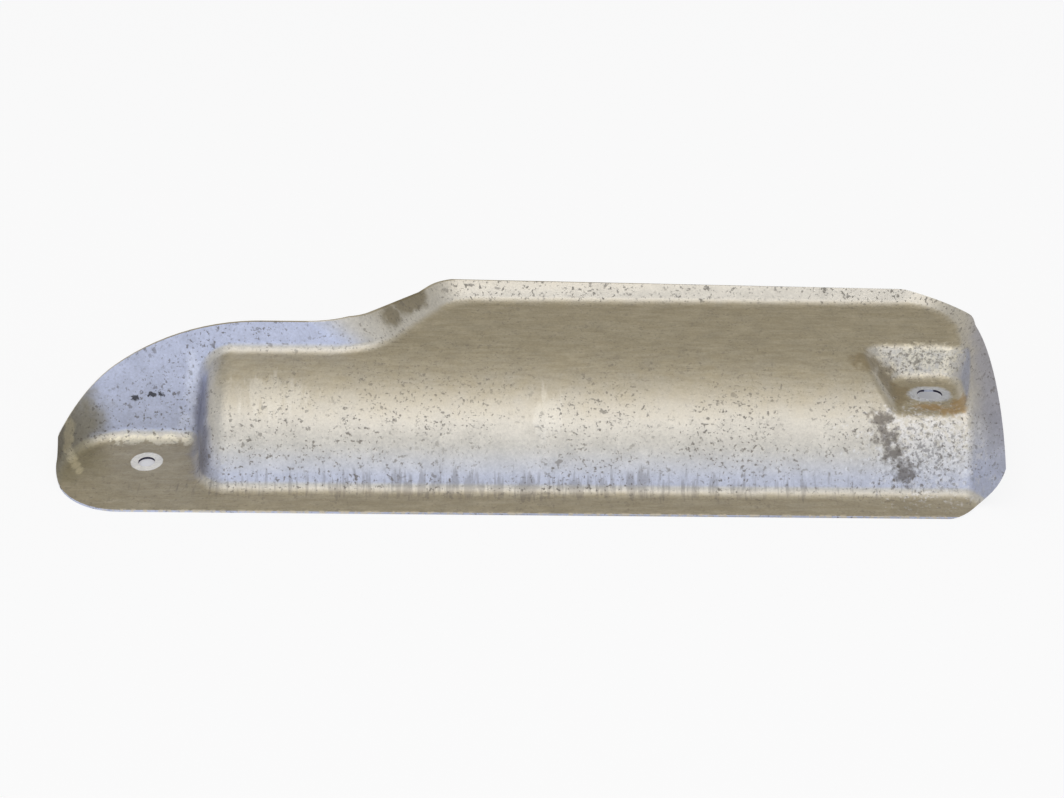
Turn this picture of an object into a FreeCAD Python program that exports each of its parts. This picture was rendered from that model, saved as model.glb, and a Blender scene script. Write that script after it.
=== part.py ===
"""Steering rack heat shield: one pressing in thin aluminised steel sheet.

The sheet is what lies between two forming faces. The die block carries the shape of the
shield's outer side and the punch block the same shape one sheet gauge deeper, so every
bend is a true offset. The sheet between them is trimmed to its outline and pierced.

Frame, in millimetres: origin at the fixing hole in the seat plane, under the flat foot.
+X runs along the shield to its slotted end, +Y away from the front edge, +Z up along the bolt.
"""
import FreeCAD
import Part
import Sketcher

import math
import os

SIZES = {
    # sheet, and the shield's whole length
    "gauge": 1.0,
    "bend": 6,
    "length": 388.4,
    # foot with the fixing hole, and the front flange
    "front_reach": 34.5,
    "left_reach": 36.0,
    "hole_diameter": 7.0,
    # back wall of the foot
    "wall_reach": 18.0,
    "wall_draft": 10.6,
    "wall_height": 51.8,
    "end_radius": 28.0,
    # long crown over the rack
    "crown_height": 40.0,
    "crown_radius": 55.0,
    "crown_reach": 33.0,
    "step_x": 26,
    "step_draft": 12,
    "step_radius": 12,
    # rim round the deep end, and the jog between the wall and the rim
    "rim_reach": 65.0,
    "rim_draft": 40.0,
    "rim_height": 7.5,
    "rim_end_height": 5.4,
    "jog_x": 111.5,
    "jog_angle": 54.0,
    "jog_draft": 45.0,
    "jog_out_radius": 22.0,
    "jog_in_radius": 24.0,
    "lip_draft": 40.0,
    "lip_width": 12.6,
    "lip_height": 10.0,
    "corner_radius": 29.0,
    # sunk pad with the slot, let into the foot of the lip
    "pad_drop": 12.0,
    "pad_width": 28.0,
    "pad_clear": 0.3,
    "pad_back": 25.5,
    "pad_left_draft": 45.0,
    "pad_back_draft": 34.0,
    "pad_right_draft": 15.0,
    "pad_corner": 10.0,
    "pad_brow": 5.0,
    "slot_inset": 12.9,
    "slot_y": 13.6,
    "slot_width": 7.0,
    "slot_length": 10.5,
    # trimmed outline
    "end_reach": 36.3,
    "tail_reach": 58.6,
    "tail_radius": 106.4,
    "left_corner": 29.5,
    "right_taper": 6.3,
    "heel_radius": 27.0,
    "heel_tilt": 33.0,
    "back_reach": 72.0,
    "back_fall": 2.5,
    "back_corner": 29.0,
    "jog_fall": 28.0,
    # spare metal round the forming blocks, trimmed off
    "margin": 40.0,
}

doc = FreeCAD.newDocument("heat_shield")
sheet = doc.addObject("Spreadsheet::Sheet", "sizes")
for row, (alias, size) in enumerate(SIZES.items(), start=1):
    sheet.set(f"A{row}", alias)
    sheet.set(f"B{row}", str(size))
    sheet.setAlias(f"B{row}", alias)
doc.recompute()

# Heights and places that several sketches share
TREAD = "(sizes.gauge + sizes.crown_height)"
AXIS = f"({TREAD} - sizes.crown_radius)"
WALL_TOP = "(sizes.gauge + sizes.wall_height)"
RIM_TOP = f"({TREAD} + sizes.rim_height)"
RIM_END = f"({TREAD} + sizes.rim_end_height)"
LIP_TOP = f"({TREAD} + sizes.lip_height)"
LIP = "(sizes.length - sizes.end_reach - sizes.lip_width)"
JOG_REACH = "(sizes.wall_reach + sizes.crown_height * tan(sizes.wall_draft) + sizes.rim_reach) / 2"
PAD = f"({TREAD} - sizes.pad_drop)"

# The pad's right side meets the lip just clear of the lip's bend, with room for its own brow
BEND_RUN = "sizes.bend * tan(45 - sizes.lip_draft / 2)"
BROW_RUN = "sizes.pad_brow * tan((sizes.lip_draft - sizes.pad_right_draft) / 2)"
MEET = f"(({BEND_RUN} + {BROW_RUN}) * cos(sizes.lip_draft) + sizes.pad_clear)"
MEET_X = f"({LIP} + {MEET} * tan(sizes.lip_draft))"
PAD_RIGHT = f"({MEET_X} - ({MEET} + sizes.pad_drop) * tan(sizes.pad_right_draft))"
PAD_LEFT = f"({PAD_RIGHT} - sizes.pad_width)"

# Limits of the forming blocks
CEILING = f"({WALL_TOP} + sizes.margin)"
LEFT = "(-sizes.left_reach - sizes.margin)"
RIGHT = f"({LIP} + sizes.lip_width + sizes.margin)"
FRONT = "(-sizes.front_reach - sizes.margin)"
BACK = "(sizes.rim_reach + sizes.crown_height + sizes.margin)"
BED = "(-2 * sizes.crown_radius - 2 * sizes.margin)"
NEAR = 1e-3


def number(text):
    return float(sheet.evalExpression(text))


def is_ring(edge, x, radius):
    """True for part of a circle of this radius lying square to the length at x."""
    box = edge.BoundBox
    flat = box.XMax - box.XMin < NEAR and abs(box.XMin - x) < NEAR
    return flat and abs(getattr(edge.Curve, "Radius", 0) - radius) < NEAR


def is_upright(edge, spot):
    """True for the upright edge over one spot of a plan."""
    box = edge.BoundBox
    ends = (box.XMin, box.YMin, box.XMax, box.YMax)
    return all(abs(a - b) < NEAR for a, b in zip(ends, spot * 2))


def is_crosswise(edge, spot):
    """True for the edge along Y at one spot of a side view."""
    box = edge.BoundBox
    ends = (box.XMin, box.ZMin, box.XMax, box.ZMax)
    return all(abs(a - b) < NEAR for a, b in zip(ends, spot * 2))


def is_lowest(edge, shape):
    """True for an edge whose ends are both the lowest, square to the heel's tilt."""
    tilt = math.radians(number("sizes.heel_tilt"))
    up = FreeCAD.Vector(0, math.sin(tilt), math.cos(tilt))
    least = min(vertex.Point.dot(up) for vertex in shape.Vertexes)
    return all(vertex.Point.dot(up) < least + NEAR for vertex in edge.Vertexes)


def new_body(name):
    return doc.addObject("PartDesign::Body", name)


def origin_plane(body, role):
    return next(f for f in body.Origin.OriginFeatures if f.Role == role)


def attached(body, name, role, base):
    """Empty sketch on one of the body's planes, its origin moved by base."""
    sketch = body.newObject("Sketcher::SketchObject", name)
    sketch.AttachmentSupport = [(origin_plane(body, role), "")]
    sketch.MapMode = "FlatFace"
    for axis, text in zip("xyz", base):
        sketch.setExpression(f"AttachmentOffset.Base.{axis}", text)
    return sketch


def bind(sketch, constraint, text):
    """Add a constraint and bind its size."""
    index = sketch.addConstraint(Sketcher.Constraint(*constraint, number(text)))
    sketch.setExpression(f"Constraints[{index}]", text)


def polygon(body, name, role, corners, base=("0", "0", "0")):
    """Sketch a closed polygon whose corners are bound to the sheet."""
    sketch = attached(body, name, role, base)
    places = [[number(text) for text in corner] for corner in corners]
    points = [FreeCAD.Vector(*place) for place in places]
    sketch.addGeometry([Part.LineSegment(a, b) for a, b in zip(points, points[1:] + points[:1])])
    for i, corner in enumerate(corners):
        sketch.addConstraint(Sketcher.Constraint("Coincident", (i - 1) % len(corners), 2, i, 1))
        for kind, text in zip(("DistanceX", "DistanceY"), corner):
            bind(sketch, (kind, -1, 1, i, 1), text)
    return sketch


def swing(sketch, axis, angle):
    """Turn a sketch about one axis of its own plane."""
    sketch.AttachmentOffset = FreeCAD.Placement(FreeCAD.Vector(), FreeCAD.Rotation(axis, -1))
    sketch.setExpression("AttachmentOffset.Rotation.Angle", angle)


def pad(body, name, sketch, length):
    feature = body.newObject("PartDesign::Pad", name)
    feature.Profile = sketch
    feature.setExpression("Length", length)
    doc.recompute()
    return feature


def pierce(body, name, sketch):
    cut = body.newObject("PartDesign::Pocket", name)
    cut.Profile = sketch
    cut.Type = "ThroughAll"
    cut.Midplane = True
    doc.recompute()
    return cut


def fillet(body, name, feature, radius, wanted):
    """Round the edges of the last feature that the test picks out."""
    names = [f"Edge{i}" for i, edge in enumerate(feature.Shape.Edges, start=1) if wanted(edge)]
    if not names:
        raise RuntimeError(f"{name}: no edge to round")
    rounded = body.newObject("PartDesign::Fillet", name)
    rounded.Base = (feature, names)
    rounded.setExpression("Radius", radius)
    doc.recompute()
    return rounded


def boolean(kind, label, base, tool):
    feature = doc.addObject(f"Part::{kind}", label)
    feature.Base = base
    feature.Tool = tool
    doc.recompute()
    return feature


def facing(turn, draft):
    """Way a drafted face looks: turned about Z from +X, and leaning back by its draft."""
    turn, draft = math.radians(turn), math.radians(draft)
    level = math.cos(draft)
    return FreeCAD.Vector(math.cos(turn) * level, math.sin(turn) * level, math.sin(draft))


def between(shape, *ways):
    """Test for the edge where a face looking one way meets a face looking the other."""
    def test(edge):
        looks = [face.normalAt(0, 0) for face in shape.ancestorsOfType(edge, Part.Face)
                 if face.Surface.TypeId == "Part::GeomPlane"]
        return len(looks) == 2 and all(any(look.dot(way) > 1 - 1e-6 for look in looks) for way in ways)
    return test


def is_bend(shape, flat_sides):
    """Test for the sharp edges that the fold lines leave on a block's forming face."""
    top = flat_sides[2][1]

    def on_side(face):
        box = face.BoundBox
        spans = ((box.XMin, box.XMax), (box.YMin, box.YMax), (box.ZMin, box.ZMax))
        return any(high - low < NEAR and any(abs(low - side) < NEAR for side in sides)
                   for (low, high), sides in zip(spans, flat_sides))

    def test(edge):
        faces = shape.ancestorsOfType(edge, Part.Face)
        if len(faces) != 2 or edge.BoundBox.ZMax > top or any(on_side(face) for face in faces):
            return False
        middle = edge.valueAt((edge.FirstParameter + edge.LastParameter) / 2)
        first, second = (face.normalAt(*face.Surface.parameter(middle)) for face in faces)
        return first.getAngle(second) > 0.03
    return test


def pad_tool(name, depth):
    """What the sunk pad takes out of a forming block, grown by depth."""
    body = new_body(name)
    low = f"({PAD} - {depth})"
    high = f"({TREAD} + sizes.margin)"
    far = f"{BACK} + sizes.margin"

    def lean(level, draft):
        return f"(({level} - {PAD}) * tan(sizes.{draft}) + {depth} / cos(sizes.{draft}))"

    def side(level):
        return [(f"{PAD_LEFT} - {lean(level, 'pad_left_draft')}", level),
                (f"{PAD_RIGHT} + {lean(level, 'pad_right_draft')}", level)]

    def rear(level):
        return f"sizes.pad_back + {lean(level, 'pad_back_draft')}"

    across = polygon(body, f"{name}_across", "XZ_Plane", side(low) + side(high)[::-1],
                     ("0", "0", f"-{BACK}"))
    pad(body, f"{name}_hollow", across, f"{BACK} - {FRONT}")
    behind = polygon(body, f"{name}_behind", "YZ_Plane",
                     [(rear(low), low), (rear(high), high), (far, high), (far, low)])
    last = pierce(body, f"{name}_back", behind)
    back_way = facing(90, -number("sizes.pad_back_draft"))
    for part, turn, draft in (("left", 180, "pad_left_draft"), ("right", 0, "pad_right_draft")):
        side_way = facing(turn, -number(f"sizes.{draft}"))
        last = fillet(body, f"{name}_{part}", last, f"sizes.pad_corner + {depth}",
                      between(last.Shape, back_way, side_way))
    floor, front = number(low), number(FRONT)
    fillet(body, f"{name}_foot", last, f"sizes.bend + {depth}",
           lambda edge: abs(edge.BoundBox.ZMax - floor) < NEAR and edge.BoundBox.YMax > front + NEAR)
    return body


def forming_block(name, depth, spare):
    """Block with the shield's outer face on top, sunk by depth; spare widens its plain sides."""
    left, right = f"({LEFT} - {spare})", f"({RIGHT} + {spare})"
    front, back = f"({FRONT} - {spare})", f"({BACK} + {spare})"
    bed, ceiling = f"({BED} - {spare})", f"({CEILING} + {spare})"
    floor = f"(sizes.gauge - {depth})"
    tread = f"({TREAD} - {depth})"
    body = new_body(name)

    def sunk(draft):
        return f"{depth} / cos(sizes.{draft})"

    def drafted(reach, draft, foot, far, sign):
        def place(level):
            return f"{reach} + {sign} * (({level} - {foot}) * tan(sizes.{draft}) + {sunk(draft)})"
        return [(place(bed), bed), (far, bed), (far, ceiling), (place(ceiling), ceiling)]

    def along_x(part, reach, draft, foot):
        """Solid behind a drafted face that runs the whole length."""
        line = polygon(body, f"{name}_{part}_line", "YZ_Plane",
                       drafted(reach, draft, foot, back, 1), ("0", "0", left))
        return pad(body, f"{name}_{part}", line, f"{right} - {left}")

    def along_y(part, reach, draft, foot, far, sign, near):
        """Solid behind a drafted face that runs from near to the back."""
        line = polygon(body, f"{name}_{part}_line", "XZ_Plane",
                       drafted(reach, draft, foot, far, sign), ("0", "0", f"-{back}"))
        return pad(body, f"{name}_{part}", line, f"{back} - {near}")

    def jog_place(level):
        return f"({TREAD} - {level}) * tan(sizes.jog_draft) - {sunk('jog_draft')}"

    way = {
        "wall": facing(-90, number("sizes.wall_draft")),
        "end": facing(0, number("sizes.wall_draft")),
        "jog": facing(number("sizes.jog_angle") - 90, number("sizes.jog_draft")),
        "rim": facing(-90, number("sizes.rim_draft")),
        "lip": facing(180, number("sizes.lip_draft")),
    }

    # Back wall of the foot, ending at the jog and turning forward round the left end
    along_x("wall", "sizes.wall_reach", "wall_draft", "sizes.gauge")
    past = f"{right} + {back}"
    jog_line = polygon(body, f"{name}_jog_line", "XZ_Plane",
                       [(jog_place(bed), bed), (past, bed), (past, ceiling), (jog_place(ceiling), ceiling)],
                       ("sizes.jog_x", "0", f"-{JOG_REACH}"))
    swing(jog_line, FreeCAD.Vector(0, 1, 0), "sizes.jog_angle - 90")
    last = pierce(body, f"{name}_jog", jog_line)
    last = fillet(body, f"{name}_jog_out", last, f"sizes.jog_out_radius - {depth}",
                  between(last.Shape, way["wall"], way["jog"]))
    last = along_y("end", "-sizes.left_reach", "wall_draft", "sizes.gauge", left, -1, front)
    last = fillet(body, f"{name}_end_round", last, f"sizes.end_radius + {depth}",
                  between(last.Shape, way["wall"], way["end"]))

    # Rim along the back and the slotted end
    along_x("rim", "sizes.rim_reach", "rim_draft", TREAD)
    last = along_y("lip", LIP, "lip_draft", TREAD, right, 1, "sizes.crown_reach")
    last = fillet(body, f"{name}_corner", last, f"sizes.corner_radius + {depth}",
                  between(last.Shape, way["rim"], way["lip"]))
    last = fillet(body, f"{name}_jog_in", last, f"sizes.jog_in_radius + {depth}",
                  between(last.Shape, way["jog"], way["rim"]))

    # Crown turned about the rack's line: coned step, straight barrel, flared lip
    barrel = f"(sizes.crown_radius - {depth})"
    step_foot = f"(sizes.step_x - sizes.crown_radius * tan(sizes.step_draft) + {sunk('step_draft')})"
    step_top = f"{step_foot} + {barrel} * tan(sizes.step_draft)"
    lip_foot = f"({LIP} + {sunk('lip_draft')} - {depth} * tan(sizes.lip_draft))"
    lip_end = f"{barrel} + ({right} - {lip_foot}) / tan(sizes.lip_draft)"
    corners = [(step_foot, "0"), (step_top, barrel), (lip_foot, barrel), (right, lip_end), (right, "0")]
    outline = polygon(body, f"{name}_crown_line", "XZ_Plane", corners, ("0", AXIS, "-sizes.crown_reach"))
    crown = body.newObject("PartDesign::Revolution", f"{name}_crown")
    crown.Profile = outline
    crown.ReferenceAxis = (outline, ["H_Axis"])
    crown.Angle = 180
    doc.recompute()

    # Flat tread behind the crown, and the bed that gives the foot and front flange
    start, near = "sizes.step_x", "sizes.crown_reach"
    for part, corners, top in (
        ("tread", [(start, near), (right, near), (right, back), (start, back)], tread),
        ("bed", [(left, front), (right, front), (right, back), (left, back)], floor),
    ):
        plan = polygon(body, f"{name}_{part}_plan", "XY_Plane", corners, ("0", "0", bed))
        last = pad(body, f"{name}_{part}", plan, f"{top} - {bed}")

    # Round the step's ridge, then every inside bend
    ridge = number(step_top)
    last = fillet(body, f"{name}_ridge", last, f"sizes.step_radius - {depth}",
                  lambda edge: is_ring(edge, ridge, number(barrel)))
    sides = [[number(side) for side in pair] for pair in ((left, right), (front, back), (bed, ceiling))]
    fillet(body, f"{name}_bends", last, f"sizes.bend + {depth}", is_bend(last.Shape, sides))

    # Sunk pad, rounded where its sides break the crown and tread
    sunk_pad = body.newObject("PartDesign::Boolean", f"{name}_sunk")
    sunk_pad.Type = "Cut"
    sunk_pad.setObjects([pad_tool(f"{name}_pad", depth)])
    doc.recompute()
    fillet(body, f"{name}_brow", sunk_pad, f"sizes.pad_brow - {depth}", is_bend(sunk_pad.Shape, sides))
    return body


# The sheet lies between the outer and the inner forming face
die = forming_block("die", "0", "0")
punch = forming_block("punch", "sizes.gauge", "5 * sizes.gauge")
blank = boolean("Cut", "blank", die, punch)

# Trim outline seen from above
plan_trim = new_body("plan_trim")
end = "-sizes.end_reach"
front_edge = "-sizes.front_reach"
right_front = f"({LIP} + sizes.lip_width)"
right_back = f"({right_front} - sizes.right_taper)"
turn = "(sizes.back_reach - sizes.back_corner - sizes.bend)"
corners = [(end, front_edge), (right_front, front_edge), (right_back, turn),
           (right_back, "sizes.back_reach - sizes.back_fall"),
           ("sizes.jog_x", "sizes.back_reach"), ("sizes.jog_x", BACK), (end, BACK)]
sketch = polygon(plan_trim, "plan_outline", "XY_Plane", corners, ("0", "0", f"-{CEILING}"))
last = pad(plan_trim, "plan_prism", sketch, f"2 * {CEILING}")
for index, part in ((0, "left_corner"), (3, "back_corner")):
    spot = [number(text) for text in corners[index]]
    last = fillet(plan_trim, part, last, f"sizes.{part}", lambda edge: is_upright(edge, spot))

# Fixing hole and slot, pierced through the outline
sketch = attached(plan_trim, "hole_plan", "XY_Plane", ("0", "0", "0"))
up = FreeCAD.Vector(0, 0, 1)
sketch.addGeometry(Part.Circle(FreeCAD.Vector(), up, number("sizes.hole_diameter / 2")))
sketch.addConstraint(Sketcher.Constraint("Coincident", 0, 3, -1, 1))
bind(sketch, ("Diameter", 0), "sizes.hole_diameter")
pierce(plan_trim, "fixing_hole", sketch)

slot_x = f"{PAD_RIGHT} - sizes.slot_inset"
sketch = attached(plan_trim, "slot_plan", "XY_Plane", (slot_x, "sizes.slot_y", "0"))
reach, half = "(sizes.slot_length - sizes.slot_width) / 2", "sizes.slot_width / 2"
for sign, start in ((-1, math.pi / 2), (1, -math.pi / 2)):
    ring = Part.Circle(FreeCAD.Vector(sign * number(reach), 0, 0), up, number(half))
    sketch.addGeometry(Part.ArcOfCircle(ring, start, start + math.pi))
for side in (1, -1):
    ends = [FreeCAD.Vector(sign * number(reach), side * number(half), 0) for sign in (-1, 1)]
    sketch.addGeometry(Part.LineSegment(*ends))
for joint in ((0, 1, 2, 1), (0, 2, 3, 1), (1, 2, 2, 2), (1, 1, 3, 2)):
    sketch.addConstraint(Sketcher.Constraint("Tangent", *joint))
sketch.addConstraint(Sketcher.Constraint("Equal", 0, 1))
bind(sketch, ("Radius", 0), half)
for arc, text in ((0, f"-{reach}"), (1, reach)):
    sketch.addConstraint(Sketcher.Constraint("PointOnObject", arc, 3, -1))
    bind(sketch, ("DistanceX", -1, 1, arc, 3), text)
pierce(plan_trim, "slot", sketch)

# Trim line of the top edge seen from the front: tail, wall top, fall along the jog, rim top
side_trim = new_body("side_trim")
fall_start = "(sizes.jog_x - sizes.jog_fall)"
tail = "-sizes.tail_reach"
profile = [(tail, f"-{CEILING}"), (RIGHT, f"-{CEILING}"), (RIGHT, LIP_TOP), (right_back, LIP_TOP),
           (LIP, RIM_END), ("sizes.jog_x", RIM_TOP), (fall_start, WALL_TOP), (tail, WALL_TOP)]
sketch = polygon(side_trim, "side_outline", "XZ_Plane", profile, ("0", "0", f"-{BACK}"))
last = pad(side_trim, "side_prism", sketch, f"{BACK} - {FRONT}")
spot = [number(text) for text in profile[-1]]
fillet(side_trim, "tail_round", last, "sizes.tail_radius", lambda edge: is_crosswise(edge, spot))

# Heel: the front corner of the slotted end, rounded square to its slope
heel_trim = new_body("heel_trim")
heel_low = "-(sizes.front_reach * sin(sizes.heel_tilt) + sizes.gauge / 2)"
corners = [(tail, heel_low), (right_front, heel_low), (right_front, BACK), (tail, BACK)]
sketch = polygon(heel_trim, "heel_outline", "XZ_Plane", corners)
swing(sketch, FreeCAD.Vector(1, 0, 0), "-sizes.heel_tilt")
last = pad(heel_trim, "heel_prism", sketch, f"4 * {BACK}")
last.Midplane = True
doc.recompute()
heel_edge = number(right_front)
fillet(heel_trim, "heel_round", last, "sizes.heel_radius",
       lambda edge: edge.BoundBox.XMin > heel_edge - NEAR and is_lowest(edge, last.Shape))

trimmed = boolean("Common", "trimmed", blank, side_trim)
turned = boolean("Common", "turned", trimmed, heel_trim)
shield = boolean("Common", "heat_shield", turned, plan_trim)

for item in doc.Objects:
    if {"Invalid", "Error"} & set(item.State):
        raise RuntimeError(f"{item.Label} did not build")
    if item.isDerivedFrom("Part::Feature") and (item.Shape.isNull() or not item.Shape.isValid()):
        raise RuntimeError(f"{item.Label} has no sound shape")
if len(shield.Shape.Solids) != 1:
    raise RuntimeError("the shield is not one solid")

os.makedirs("parts", exist_ok=True)
shield.Shape.exportStep(f"parts/{shield.Label}.step")
print(f"{shield.Label}: {shield.Shape.Volume:.0f} mm3, {len(shield.Shape.Faces)} faces")
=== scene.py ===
import math

import bmesh
import bpy
from mathutils import Matrix, Vector


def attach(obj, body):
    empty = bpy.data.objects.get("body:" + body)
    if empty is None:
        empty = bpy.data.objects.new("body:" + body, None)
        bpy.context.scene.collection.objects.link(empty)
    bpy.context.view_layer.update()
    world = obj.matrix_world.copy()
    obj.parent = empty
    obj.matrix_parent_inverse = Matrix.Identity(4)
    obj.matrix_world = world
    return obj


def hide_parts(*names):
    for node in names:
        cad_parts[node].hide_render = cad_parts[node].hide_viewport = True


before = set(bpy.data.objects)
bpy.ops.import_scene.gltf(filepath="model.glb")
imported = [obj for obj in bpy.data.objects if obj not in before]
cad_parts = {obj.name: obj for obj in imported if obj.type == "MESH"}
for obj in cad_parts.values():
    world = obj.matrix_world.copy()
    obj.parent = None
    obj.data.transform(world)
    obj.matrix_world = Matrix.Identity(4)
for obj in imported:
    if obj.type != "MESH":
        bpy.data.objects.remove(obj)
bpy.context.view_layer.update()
print("frame loaded")


def tone(red, green, blue):
    # a colour as seen on a screen, 0 to 255, made linear
    def linear(level):
        level /= 255
        return level / 12.92 if level < 0.04045 else ((level + 0.055) / 1.055) ** 2.4
    return (linear(red), linear(green), linear(blue), 1.0)


# Shield: the pressing's own skin, merged so that it shades smoothly, its cut edges marked
shieldSettings = {
    "mergeWithin": 2e-6,       # metres
    "sharpAngle": 38.0,        # degrees; only the cut edges are sharper
}


def markCutEdges(work):
    # a patch is reached without crossing a sharp edge; all but the two widest are cut edges
    mark = work.faces.layers.float.new("cutEdge")
    patches, seen = [], set()
    for first in work.faces:
        if first in seen:
            continue
        patch, ahead = [], [first]
        seen.add(first)
        while ahead:
            face = ahead.pop()
            patch.append(face)
            for edge in face.edges:
                if edge.smooth:
                    fresh = [other for other in edge.link_faces if other not in seen]
                    seen.update(fresh)
                    ahead.extend(fresh)
        patches.append(patch)
    patches.sort(key=lambda patch: sum(face.calc_area() for face in patch))
    for patch in patches[:-2]:
        for face in patch:
            face[mark] = 1.0


def makeShield(settings):
    mesh = bpy.data.meshes.new("shield")
    work = bmesh.new()
    work.from_mesh(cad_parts["heat_shield"].data)
    bmesh.ops.remove_doubles(work, verts=work.verts, dist=settings["mergeWithin"])
    work.to_mesh(mesh)
    mesh.materials.clear()
    mesh.shade_smooth()
    mesh.set_sharp_from_angle(angle=math.radians(settings["sharpAngle"]))
    work.clear()
    work.from_mesh(mesh)
    markCutEdges(work)
    work.to_mesh(mesh)
    work.free()
    shield = bpy.data.objects.new("shield", mesh)
    bpy.context.scene.collection.objects.link(shield)
    weighted = shield.modifiers.new("evenShading", "WEIGHTED_NORMAL")
    weighted.mode = "FACE_AREA_WITH_ANGLE"
    weighted.keep_sharp = True
    return shield


shield = makeShield(shieldSettings)
print("shield", len(shield.data.polygons), "faces")


# Small helpers for building node trees
def addNode(tree, kind, inputs=None, **settings):
    node = tree.nodes.new(kind)
    for name, value in settings.items():
        setattr(node, name, value)
    for key, value in (inputs or {}).items():
        if isinstance(value, bpy.types.NodeSocket):
            tree.links.new(value, node.inputs[key])
        else:
            node.inputs[key].default_value = value
    return node


def calc(tree, operation, a, b=0.0):
    return addNode(tree, "ShaderNodeMath", {0: a, 1: b}, operation=operation).outputs[0]


def times(tree, first, *others):
    for other in others:
        first = calc(tree, "MULTIPLY", first, other)
    return first


def allBut(tree, share):
    return calc(tree, "SUBTRACT", 1.0, share)


def smoothBetween(tree, value, low, high):
    inputs = {"Value": value, "From Min": low, "From Max": high}
    return addNode(tree, "ShaderNodeMapRange", inputs, interpolation_type="SMOOTHSTEP").outputs["Result"]


def blend(tree, amount, base, over):
    return addNode(tree, "ShaderNodeMix", {"Factor": amount, 6: base, 7: over}, data_type="RGBA").outputs[2]


def blendValue(tree, amount, base, over):
    return addNode(tree, "ShaderNodeMix", {"Factor": amount, 2: base, 3: over}, data_type="FLOAT").outputs[0]


def vectorCalc(tree, operation, a, b=(0, 0, 0)):
    return addNode(tree, "ShaderNodeVectorMath", {0: a, 1: b}, operation=operation).outputs[0]


def noise(tree, place, scale, detail, roughness):
    inputs = {"Vector": place, "Scale": scale, "Detail": detail, "Roughness": roughness}
    return addNode(tree, "ShaderNodeTexNoise", inputs).outputs["Fac"]


def waver(tree, place, scale, detail, roughness):
    # the same noise, either side of nothing
    return calc(tree, "SUBTRACT", noise(tree, place, scale, detail, roughness), 0.5)


# Aluminised steel: grey metal with painted blue and warm reflection tints, a film on what faces up that is
# partly dust and partly painted darker reflection, corrosion pits, stains, painted shade and highlights, and
# cut edges painted lit and in shade with a front arris that is partly worn and partly painted highlight.
# Places and sizes are millimetres in the part's frame; a noise is its scale, detail and roughness.
steelSettings = {
    "metalWithBlueReflection": tone(195, 200, 219),      # bare coating on the steep sides, with a painted blue reflection
    "metalWithWarmReflection": tone(205, 200, 189),      # the same with a painted warm reflection where it looks up a little
    "warmReflectionFrom": (0.25, 0.62),              # how far a face looks up; 1 is level
    "dustAndShade": tone(164, 154, 131),           # film on what faces up: partly dust, partly painted darker reflection
    "dustAndShadeLight": tone(178, 169, 148),
    "dustAndShadeFrom": (0.68, 1.0),
    "dustAndShadeUneven": 0.22,
    "streakNoise": (1.0, 4.0, 0.65),       # along the length, in that film
    "streakStretch": (0.10, 0.5, 0.5),
    "streakLevels": (0.3, 0.75),
    "grainNoise": (0.9, 4.0, 0.65),
    "grain": 0.30,
    "mottleNoise": (0.12, 4.0, 0.6),
    "mottle": 0.22,
    "metallic": 0.70,
    "roughness": 0.47,
    "grainRoughness": 0.3,
    "dustRoughness": 0.3,                  # share of the pits' own
    "bump": (0.4, 0.0003),                 # strength, and depth in metres
    "grainHeight": 0.5,                    # against a pit's depth of 1
}
pitSettings = {
    "colour": tone(100, 93, 83),
    "sizes": [                             # grain size, level from, level to, strength
        (1.9, 0.615, 0.700, 0.68),
        (1.15, 0.620, 0.700, 0.62),
        (3.4, 0.660, 0.720, 0.50),
    ],
    "detail": 2.0,
    "soften": 0.5,
    "patchNoise": (0.035, 3.0, 0.55),
    "patchLevels": (0.28, 0.55),
    "onDust": 0.55,                        # fewer on the flats
    "metallic": 0.1,
    "roughness": 0.75,
}
# cut edges painted as lit where they look up and in shade along the front; the front arris painted pale in
# broken bits, partly wear and partly painted highlight
edgeSettings = {
    "litEdgeColour": tone(216, 206, 182),
    "shadedEdgeColour": tone(56, 52, 72),
    "topFrom": (0.0, 0.5),                 # how far the edge looks up
    "arrisFrom": (-33.2, -34.3),            # y, in to the front edge
    "arrisNoise": (0.35, 3.0, 0.6),
    "arrisLevels": (0.45, 0.6),
    "arrisStrength": 0.8,
}
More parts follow.
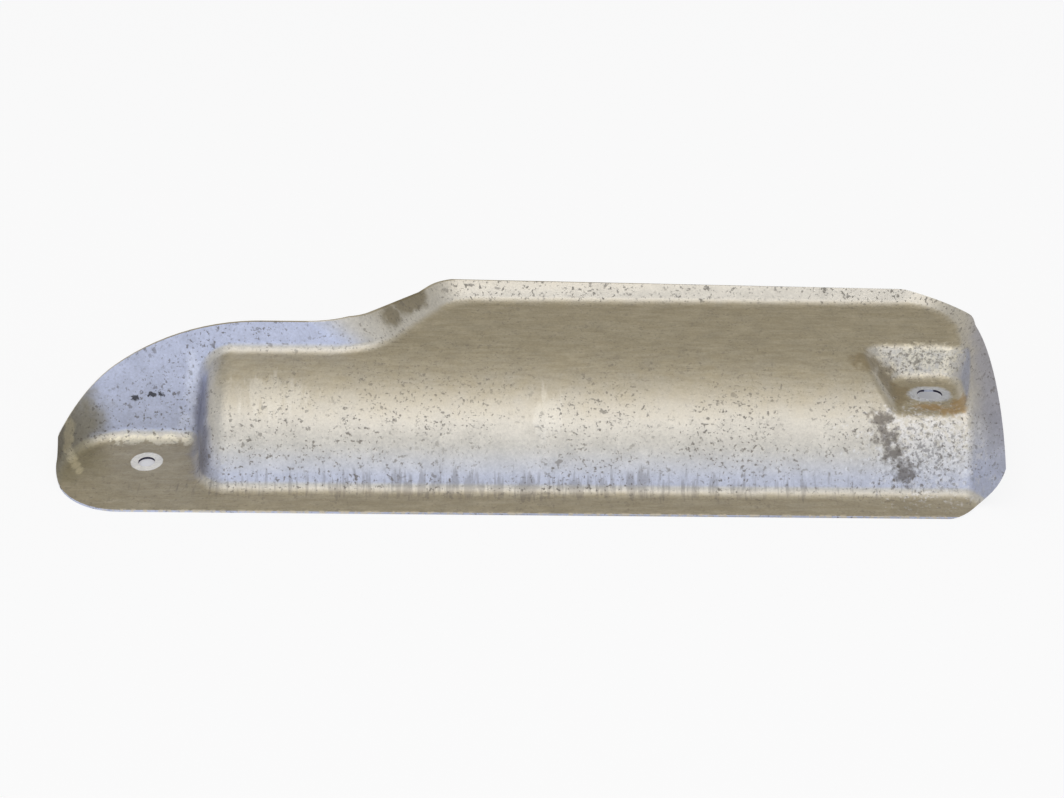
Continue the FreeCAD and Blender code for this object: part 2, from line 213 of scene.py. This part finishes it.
# each mark covers its spots (centre, reach), with an edge broken up by noise
markSettings = {
    "detail": 3.0,
    "soften": 0.6,
    "breakUp": 2.2,
    "usualEdge": (0.55, 1.15),             # full inside the first share of the reach, gone past the second
}
marks = {
    # painted darker reflection on the wall's left end
    "endDarkReflection": {
        "colour": tone(146, 138, 112), "strength": 0.85, "ragged": 0.4, "grainSize": 12.0,
        "spots": [((-38, 4, 14), (26, 26, 26))]},
    # painted shade at the jog, where the rim flange steps back
    "jogShade": {
        "colour": tone(112, 100, 70), "strength": 0.70, "ragged": 0.5, "grainSize": 6.0,
        "spots": [((104, 52, 49), (8, 9, 7)), ((110, 57, 48), (7, 7, 7)), ((100, 44, 46), (6, 8, 6))]},
    # brown marks along the pad's left edge, partly stain and partly painted shade of that edge
    "padEdgeStainAndShade": {
        "colour": tone(132, 117, 86), "strength": 0.60, "ragged": 0.9, "grainSize": 5.0,
        "spots": [((300, 24, 38), (9, 7, 6)), ((307, 22, 32), (7, 9, 6)), ((311, 13, 29), (6, 8, 5))]},
    "corrosion": {
        "colour": tone(226, 225, 226), "strength": 0.52, "ragged": 2.6, "grainSize": 2.2,
        "edge": (0.2, 1.2),
        "spots": [((323, -10, 18), (21, 15, 17))]},
    "corrosionDark": {
        "colour": tone(112, 108, 106), "strength": 0.60, "ragged": 3.0, "grainSize": 1.7,
        "edge": (-0.5, 0.6),
        "spots": [((322, -11, 16), (21, 15, 17))]},
    "riserPale": {
        "colour": tone(230, 222, 200), "strength": 0.55, "ragged": 2.4, "grainSize": 2.4,
        "edge": (0.2, 1.2),
        "spots": [((325, 30, 36), (17, 6, 7))]},
    "riserDark": {
        "colour": tone(104, 98, 88), "strength": 0.65, "ragged": 3.0, "grainSize": 1.7,
        "edge": (-0.5, 0.6),
        "spots": [((322, 30, 36), (20, 7, 8))]},
    "rust": {
        "colour": tone(168, 134, 78), "strength": 0.62, "ragged": 0.8, "grainSize": 4.0,
        "spots": [((325, 3.5, 29), (7, 3.2, 4)), ((332, 1.5, 29), (6, 3.5, 4)), ((337, 5, 30), (4, 6, 4))]},
    # painted shade down the pad's left edge, standing in for a valley the shape lacks
    "padEdgeShade": {
        "colour": tone(100, 93, 86), "strength": 0.80, "ragged": 1.6, "grainSize": 3.2,
        "edge": (0.3, 1.3),
        "spots": [((303, -3, 27), (5, 5, 5)), ((305, -8, 22), (5, 5, 5)),
                  ((308, -12, 16), (5.5, 5, 5)), ((312, -16, 11), (5.5, 5, 5))]},
    # a darker band with upright streaks along the foot of the bulge
    "footStreaks": {
        "colour": tone(116, 110, 106), "strength": 0.42, "ragged": 2.6, "grainSize": 2.0,
        "edge": (0.1, 1.1), "stretch": (1.0, 0.14, 0.14),
        "spots": [((150, -20, 3.5), (118, 4.5, 6))]},
    "paleRuns": {
        "colour": tone(232, 229, 220), "strength": 0.24, "ragged": 1.6, "grainSize": 3.0,
        "stretch": (1.0, 0.2, 0.2),
        "spots": [((167, -1, 28), (6, 11, 9)), ((54, 4, 32), (14, 9, 8))]},
    # pale line along the wall/floor crease, partly scuffing and partly painted highlight in that bend
    "creaseScuffAndHighlight": {
        "colour": tone(228, 222, 202), "strength": 0.70, "ragged": 1.8, "grainSize": 2.2,
        "spots": [((-8, 15.2, 1.8), (9, 2.8, 2.8)), ((4, 15.4, 1.8), (10, 2.8, 2.8)),
                  ((15, 15.4, 1.8), (6, 2.4, 2.4))]},
    # painted highlight along the curved corner at the left end
    "endHighlight": {
        "colour": tone(204, 194, 164), "strength": 0.75, "ragged": 0.4, "grainSize": 3.0,
        "edge": (0.5, 1.0),
        "spots": [((-32.4, 9.4, 12), (3, 4, 5)), ((-33, 6.5, 8), (3, 4, 5)),
                  ((-32.8, 3.6, 4.4), (3.2, 4, 4.5)), ((-31, 0.5, 2), (3, 4, 4)),
                  ((-29, -3, 1.2), (2.8, 4.2, 3)), ((-27, -6.5, 1), (2.2, 3.6, 3))]},
    "stepShade": {
        "colour": tone(146, 146, 160), "strength": 0.85, "ragged": 0.4, "grainSize": 8.0,
        "spots": [((21, 9, 20), (8, 16, 22)), ((23, -8, 13), (7, 14, 15))]},
    # painted darker, bluish shade over the right lip
    "lipShade": {
        "colour": tone(168, 168, 181), "strength": 0.75, "ragged": 0.3, "grainSize": 12.0,
        "spots": [((354, 8, 44), (14, 62, 34))]},
    "chips": {
        "colour": tone(52, 50, 52), "strength": 0.9, "ragged": 1.8, "grainSize": 1.5,
        "spots": [((-6.5, 21.3, 18.7), (2.0, 2, 1.2)), ((1, 21.7, 20.4), (2.2, 2, 1.1)),
                  ((4.4, 21.7, 20.4), (1.6, 2, 1.1))]},
    "wallShine": {
        "colour": tone(228, 232, 246), "strength": 0.60, "ragged": 0.9, "grainSize": 3.0,
        "edge": (0.2, 1.2),
        "spots": [((19, 24, 33), (3.6, 5, 9)), ((17.5, 22, 21), (3.8, 5, 10)), ((14, 19, 9), (5, 4, 6))]},
    "slotHalo": {
        "colour": tone(208, 213, 224), "strength": 0.75, "ragged": 0.2, "grainSize": 3.0,
        "edge": (0.75, 1.05),
        "spots": [((323.3, 13.6, 29), (7.6, 6.2, 4)), ((327.3, 13.6, 29), (7.6, 6.2, 4))]},
    "boltRing": {
        "colour": tone(243, 240, 231), "strength": 0.95, "ragged": 0.05, "grainSize": 3.0,
        "edge": (0.94, 1.0),
        "spots": [((0, 0, 1), (6.9, 6.9, 4))]},
}


def markMask(tree, mm, mark, settings):
    grained = vectorCalc(tree, "MULTIPLY", mm, mark.get("stretch", (1, 1, 1)))
    broken = waver(tree, grained, 1 / mark["grainSize"], settings["detail"], settings["soften"])
    broken = times(tree, broken, settings["breakUp"] * mark["ragged"])
    nearest = None
    for place, reach in mark["spots"]:
        away = vectorCalc(tree, "DIVIDE", vectorCalc(tree, "SUBTRACT", mm, place), reach)
        length = addNode(tree, "ShaderNodeVectorMath", {0: away}, operation="LENGTH").outputs["Value"]
        nearest = length if nearest is None else calc(tree, "MINIMUM", nearest, length)
    low, high = mark.get("edge", settings["usualEdge"])
    return allBut(tree, smoothBetween(tree, calc(tree, "ADD", nearest, broken), low, high))


def pitMask(tree, mm, dustAndShade, settings):
    pits = None
    for size, low, high, strength in settings["sizes"]:
        level = noise(tree, mm, 1 / size, settings["detail"], settings["soften"])
        layer = times(tree, smoothBetween(tree, level, low, high), strength)
        pits = layer if pits is None else calc(tree, "MAXIMUM", pits, layer)
    patches = smoothBetween(tree, noise(tree, mm, *settings["patchNoise"]), *settings["patchLevels"])
    unringed = allBut(tree, markMask(tree, mm, marks["boltRing"], markSettings))
    return times(tree, pits, patches, blendValue(tree, dustAndShade, 1.0, settings["onDust"]), unringed)


def edgeColour(tree, mm, upward, colour, settings):
    # sheared edges painted pale where they look up and dark along the front, as lit and in shade, with a
    # broken pale front arris that is partly wear and partly painted highlight
    cut = addNode(tree, "ShaderNodeAttribute", attribute_name="cutEdge").outputs["Fac"]
    litShare = smoothBetween(tree, upward, *settings["topFrom"])
    colour = blend(tree, cut, colour, blend(tree, litShare, settings["shadedEdgeColour"], settings["litEdgeColour"]))
    depth = addNode(tree, "ShaderNodeSeparateXYZ", {0: mm}).outputs["Y"]
    front = smoothBetween(tree, depth, *settings["arrisFrom"])
    arrisBreaks = smoothBetween(tree, noise(tree, mm, *settings["arrisNoise"]), *settings["arrisLevels"])
    wornAndHighlitArris = times(tree, front, arrisBreaks, allBut(tree, cut), settings["arrisStrength"])
    return blend(tree, wornAndHighlitArris, colour, settings["litEdgeColour"])


def makeSteel(settings):
    steel = bpy.data.materials.new("aluminisedSteel")
    steel.use_nodes = True
    tree = steel.node_tree
    shader = tree.nodes["Principled BSDF"]
    metres = addNode(tree, "ShaderNodeTexCoord").outputs["Object"]
    mm = vectorCalc(tree, "MULTIPLY", metres, (1000, 1000, 1000))
    normal = addNode(tree, "ShaderNodeNewGeometry").outputs["Normal"]
    upward = addNode(tree, "ShaderNodeSeparateXYZ", {0: normal}).outputs["Z"]
    grain = waver(tree, mm, *settings["grainNoise"])
    mottle = waver(tree, mm, *settings["mottleNoise"])

    # bare coating with painted reflections, blue on the steep sides and warm where it looks up, and a film on
    # what faces up, partly dust and partly painted darker reflection
    warmReflection = smoothBetween(tree, upward, *settings["warmReflectionFrom"])
    colour = blend(tree, warmReflection, settings["metalWithBlueReflection"], settings["metalWithWarmReflection"])
    unevenUp = calc(tree, "ADD", upward, times(tree, mottle, settings["dustAndShadeUneven"]))
    dustAndShade = smoothBetween(tree, unevenUp, *settings["dustAndShadeFrom"])
    stretched = vectorCalc(tree, "MULTIPLY", mm, settings["streakStretch"])
    streaks = smoothBetween(tree, noise(tree, stretched, *settings["streakNoise"]), *settings["streakLevels"])
    colour = blend(tree, dustAndShade, colour, blend(tree, streaks, settings["dustAndShade"], settings["dustAndShadeLight"]))

    # stains, painted shade and highlights, scuffs and bare rings, then pits, then an uneven tone over all
    for mark in marks.values():
        cover = times(tree, markMask(tree, mm, mark, markSettings), mark["strength"])
        colour = blend(tree, cover, colour, mark["colour"])
    pits = pitMask(tree, mm, dustAndShade, pitSettings)
    colour = blend(tree, pits, colour, pitSettings["colour"])
    lift = calc(tree, "ADD", times(tree, grain, 2 * settings["grain"]), 1.0)
    lift = calc(tree, "ADD", lift, times(tree, mottle, 2 * settings["mottle"]))
    colour = addNode(tree, "ShaderNodeVectorMath", {0: colour, "Scale": lift}, operation="SCALE").outputs[0]
    colour = edgeColour(tree, mm, upward, colour, edgeSettings)

    dull = calc(tree, "MAXIMUM", pits, times(tree, dustAndShade, settings["dustRoughness"]))
    rough = blendValue(tree, dull, settings["roughness"], pitSettings["roughness"])
    rough = calc(tree, "ADD", rough, times(tree, grain, settings["grainRoughness"]))
    metallic = blendValue(tree, pits, settings["metallic"], pitSettings["metallic"])
    strength, depth = settings["bump"]
    height = calc(tree, "SUBTRACT", times(tree, grain, settings["grainHeight"]), pits)
    bump = addNode(tree, "ShaderNodeBump", {"Height": height, "Strength": strength, "Distance": depth})
    tree.links.new(colour, shader.inputs["Base Color"])
    tree.links.new(metallic, shader.inputs["Metallic"])
    tree.links.new(rough, shader.inputs["Roughness"])
    tree.links.new(bump.outputs[0], shader.inputs["Normal"])
    return steel


shield.data.materials.append(makeSteel(steelSettings))
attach(shield, "root")
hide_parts("heat_shield")
print("steel done,", len(marks), "marks")


# Studio: pale floor, soft lamps, camera at the photograph's angle
floorSettings = {
    "size": 12.0,
    "colour": (0.80, 0.80, 0.82, 1),
    "roughness": 0.9,
    "glow": 0.85,                          # share of plain white seen on the open floor
    # x and y in the shield's shade, where there is no glow, and how soft the edge is
    "underPart": ((-0.020, 0.350, 0.008), (-0.025, 0.095, 0.025)),
}
lightSettings = {
    "worldFront": (0.60, 0.63, 0.70, 1),
    "worldBack": (0.62, 0.60, 0.55, 1),
    "worldTurn": (-0.6, 0.6),              # from front to back
    "worldStrength": 0.95,
    "lamps": [
        {"name": "key", "place": (0.15, -0.45, 1.40), "size": 1.1, "power": 7.3, "colour": (1.0, 0.95, 0.87)},
        {"name": "fill", "place": (0.0, -1.6, 0.30), "size": 1.4, "power": 5.0, "colour": (0.76, 0.85, 1.0)},
    ],
    "aim": (0.16, 0.02, 0.02),
}
cameraSettings = {
    "place": (0.1603, -0.8237, 0.5687),
    "tilt": 33.0,                          # degrees below the horizon
    "roll": 0.5,
    "focalPixels": 2400.0,
    "imageWidth": 1064.0,
    "sensorWidth": 36.0,
    "clipStart": 0.05,
}


def makeFloor(settings):
    half = settings["size"] / 2
    mesh = bpy.data.meshes.new("floor")
    corners = [(-half, -half, 0), (half, -half, 0), (half, half, 0), (-half, half, 0)]
    mesh.from_pydata(corners, [], [(0, 1, 2, 3)])
    floor = bpy.data.objects.new("floor", mesh)
    bpy.context.scene.collection.objects.link(floor)
    paint = bpy.data.materials.new("paleFloor")
    paint.use_nodes = True
    tree = paint.node_tree
    shader = tree.nodes["Principled BSDF"]
    shader.inputs["Base Color"].default_value = settings["colour"]
    shader.inputs["Roughness"].default_value = settings["roughness"]
    glow = addNode(tree, "ShaderNodeEmission", {"Color": (1, 1, 1, 1), "Strength": 1.0})
    path = addNode(tree, "ShaderNodeLightPath")
    seen = calc(tree, "MAXIMUM", path.outputs["Is Camera Ray"], path.outputs["Is Glossy Ray"])
    seen = calc(tree, "MAXIMUM", seen, path.outputs["Is Transmission Ray"])
    spot = addNode(tree, "ShaderNodeSeparateXYZ", {0: addNode(tree, "ShaderNodeTexCoord").outputs["Object"]})
    shade = 1.0
    for axis, (low, high, soft) in zip("XY", settings["underPart"]):
        rise = smoothBetween(tree, spot.outputs[axis], low, low + soft)
        fall = smoothBetween(tree, spot.outputs[axis], high, high - soft)
        shade = times(tree, rise, fall, shade)
    share = times(tree, seen, settings["glow"], allBut(tree, shade))
    mix = addNode(tree, "ShaderNodeMixShader", {0: share, 1: shader.outputs[0], 2: glow.outputs[0]})
    tree.links.new(mix.outputs[0], tree.nodes["Material Output"].inputs["Surface"])
    mesh.materials.append(paint)


def makeWorld(settings):
    world = bpy.data.worlds.new("studio")
    bpy.context.scene.world = world
    world.use_nodes = True
    tree = world.node_tree
    background = tree.nodes["Background"]
    direction = addNode(tree, "ShaderNodeTexCoord").outputs["Generated"]
    away = addNode(tree, "ShaderNodeSeparateXYZ", {0: direction})
    turn = smoothBetween(tree, away.outputs["Y"], *settings["worldTurn"])
    colour = blend(tree, turn, settings["worldFront"], settings["worldBack"])
    tree.links.new(colour, background.inputs["Color"])
    background.inputs["Strength"].default_value = settings["worldStrength"]


def makeLamps(settings):
    for lamp in settings["lamps"]:
        data = bpy.data.lights.new(lamp["name"], "AREA")
        data.size = lamp["size"]
        data.energy = lamp["power"]
        data.color = lamp["colour"]
        light = bpy.data.objects.new(lamp["name"], data)
        light.location = lamp["place"]
        towards = Vector(settings["aim"]) - Vector(lamp["place"])
        light.rotation_euler = towards.to_track_quat("-Z", "Y").to_euler()
        bpy.context.scene.collection.objects.link(light)


def makeCamera(settings):
    data = bpy.data.cameras.new("camera")
    data.sensor_width = settings["sensorWidth"]
    data.lens = settings["focalPixels"] / settings["imageWidth"] * settings["sensorWidth"]
    data.clip_start = settings["clipStart"]
    camera = bpy.data.objects.new("camera", data)
    tilt = Matrix.Rotation(math.radians(90 - settings["tilt"]), 4, "X")
    roll = Matrix.Rotation(math.radians(settings["roll"]), 4, "Z")
    camera.matrix_world = Matrix.Translation(settings["place"]) @ tilt @ roll
    bpy.context.scene.collection.objects.link(camera)
    bpy.context.scene.camera = camera


makeFloor(floorSettings)
makeWorld(lightSettings)
makeLamps(lightSettings)
makeCamera(cameraSettings)
bpy.context.scene.view_settings.view_transform = "Standard"
print("studio done")
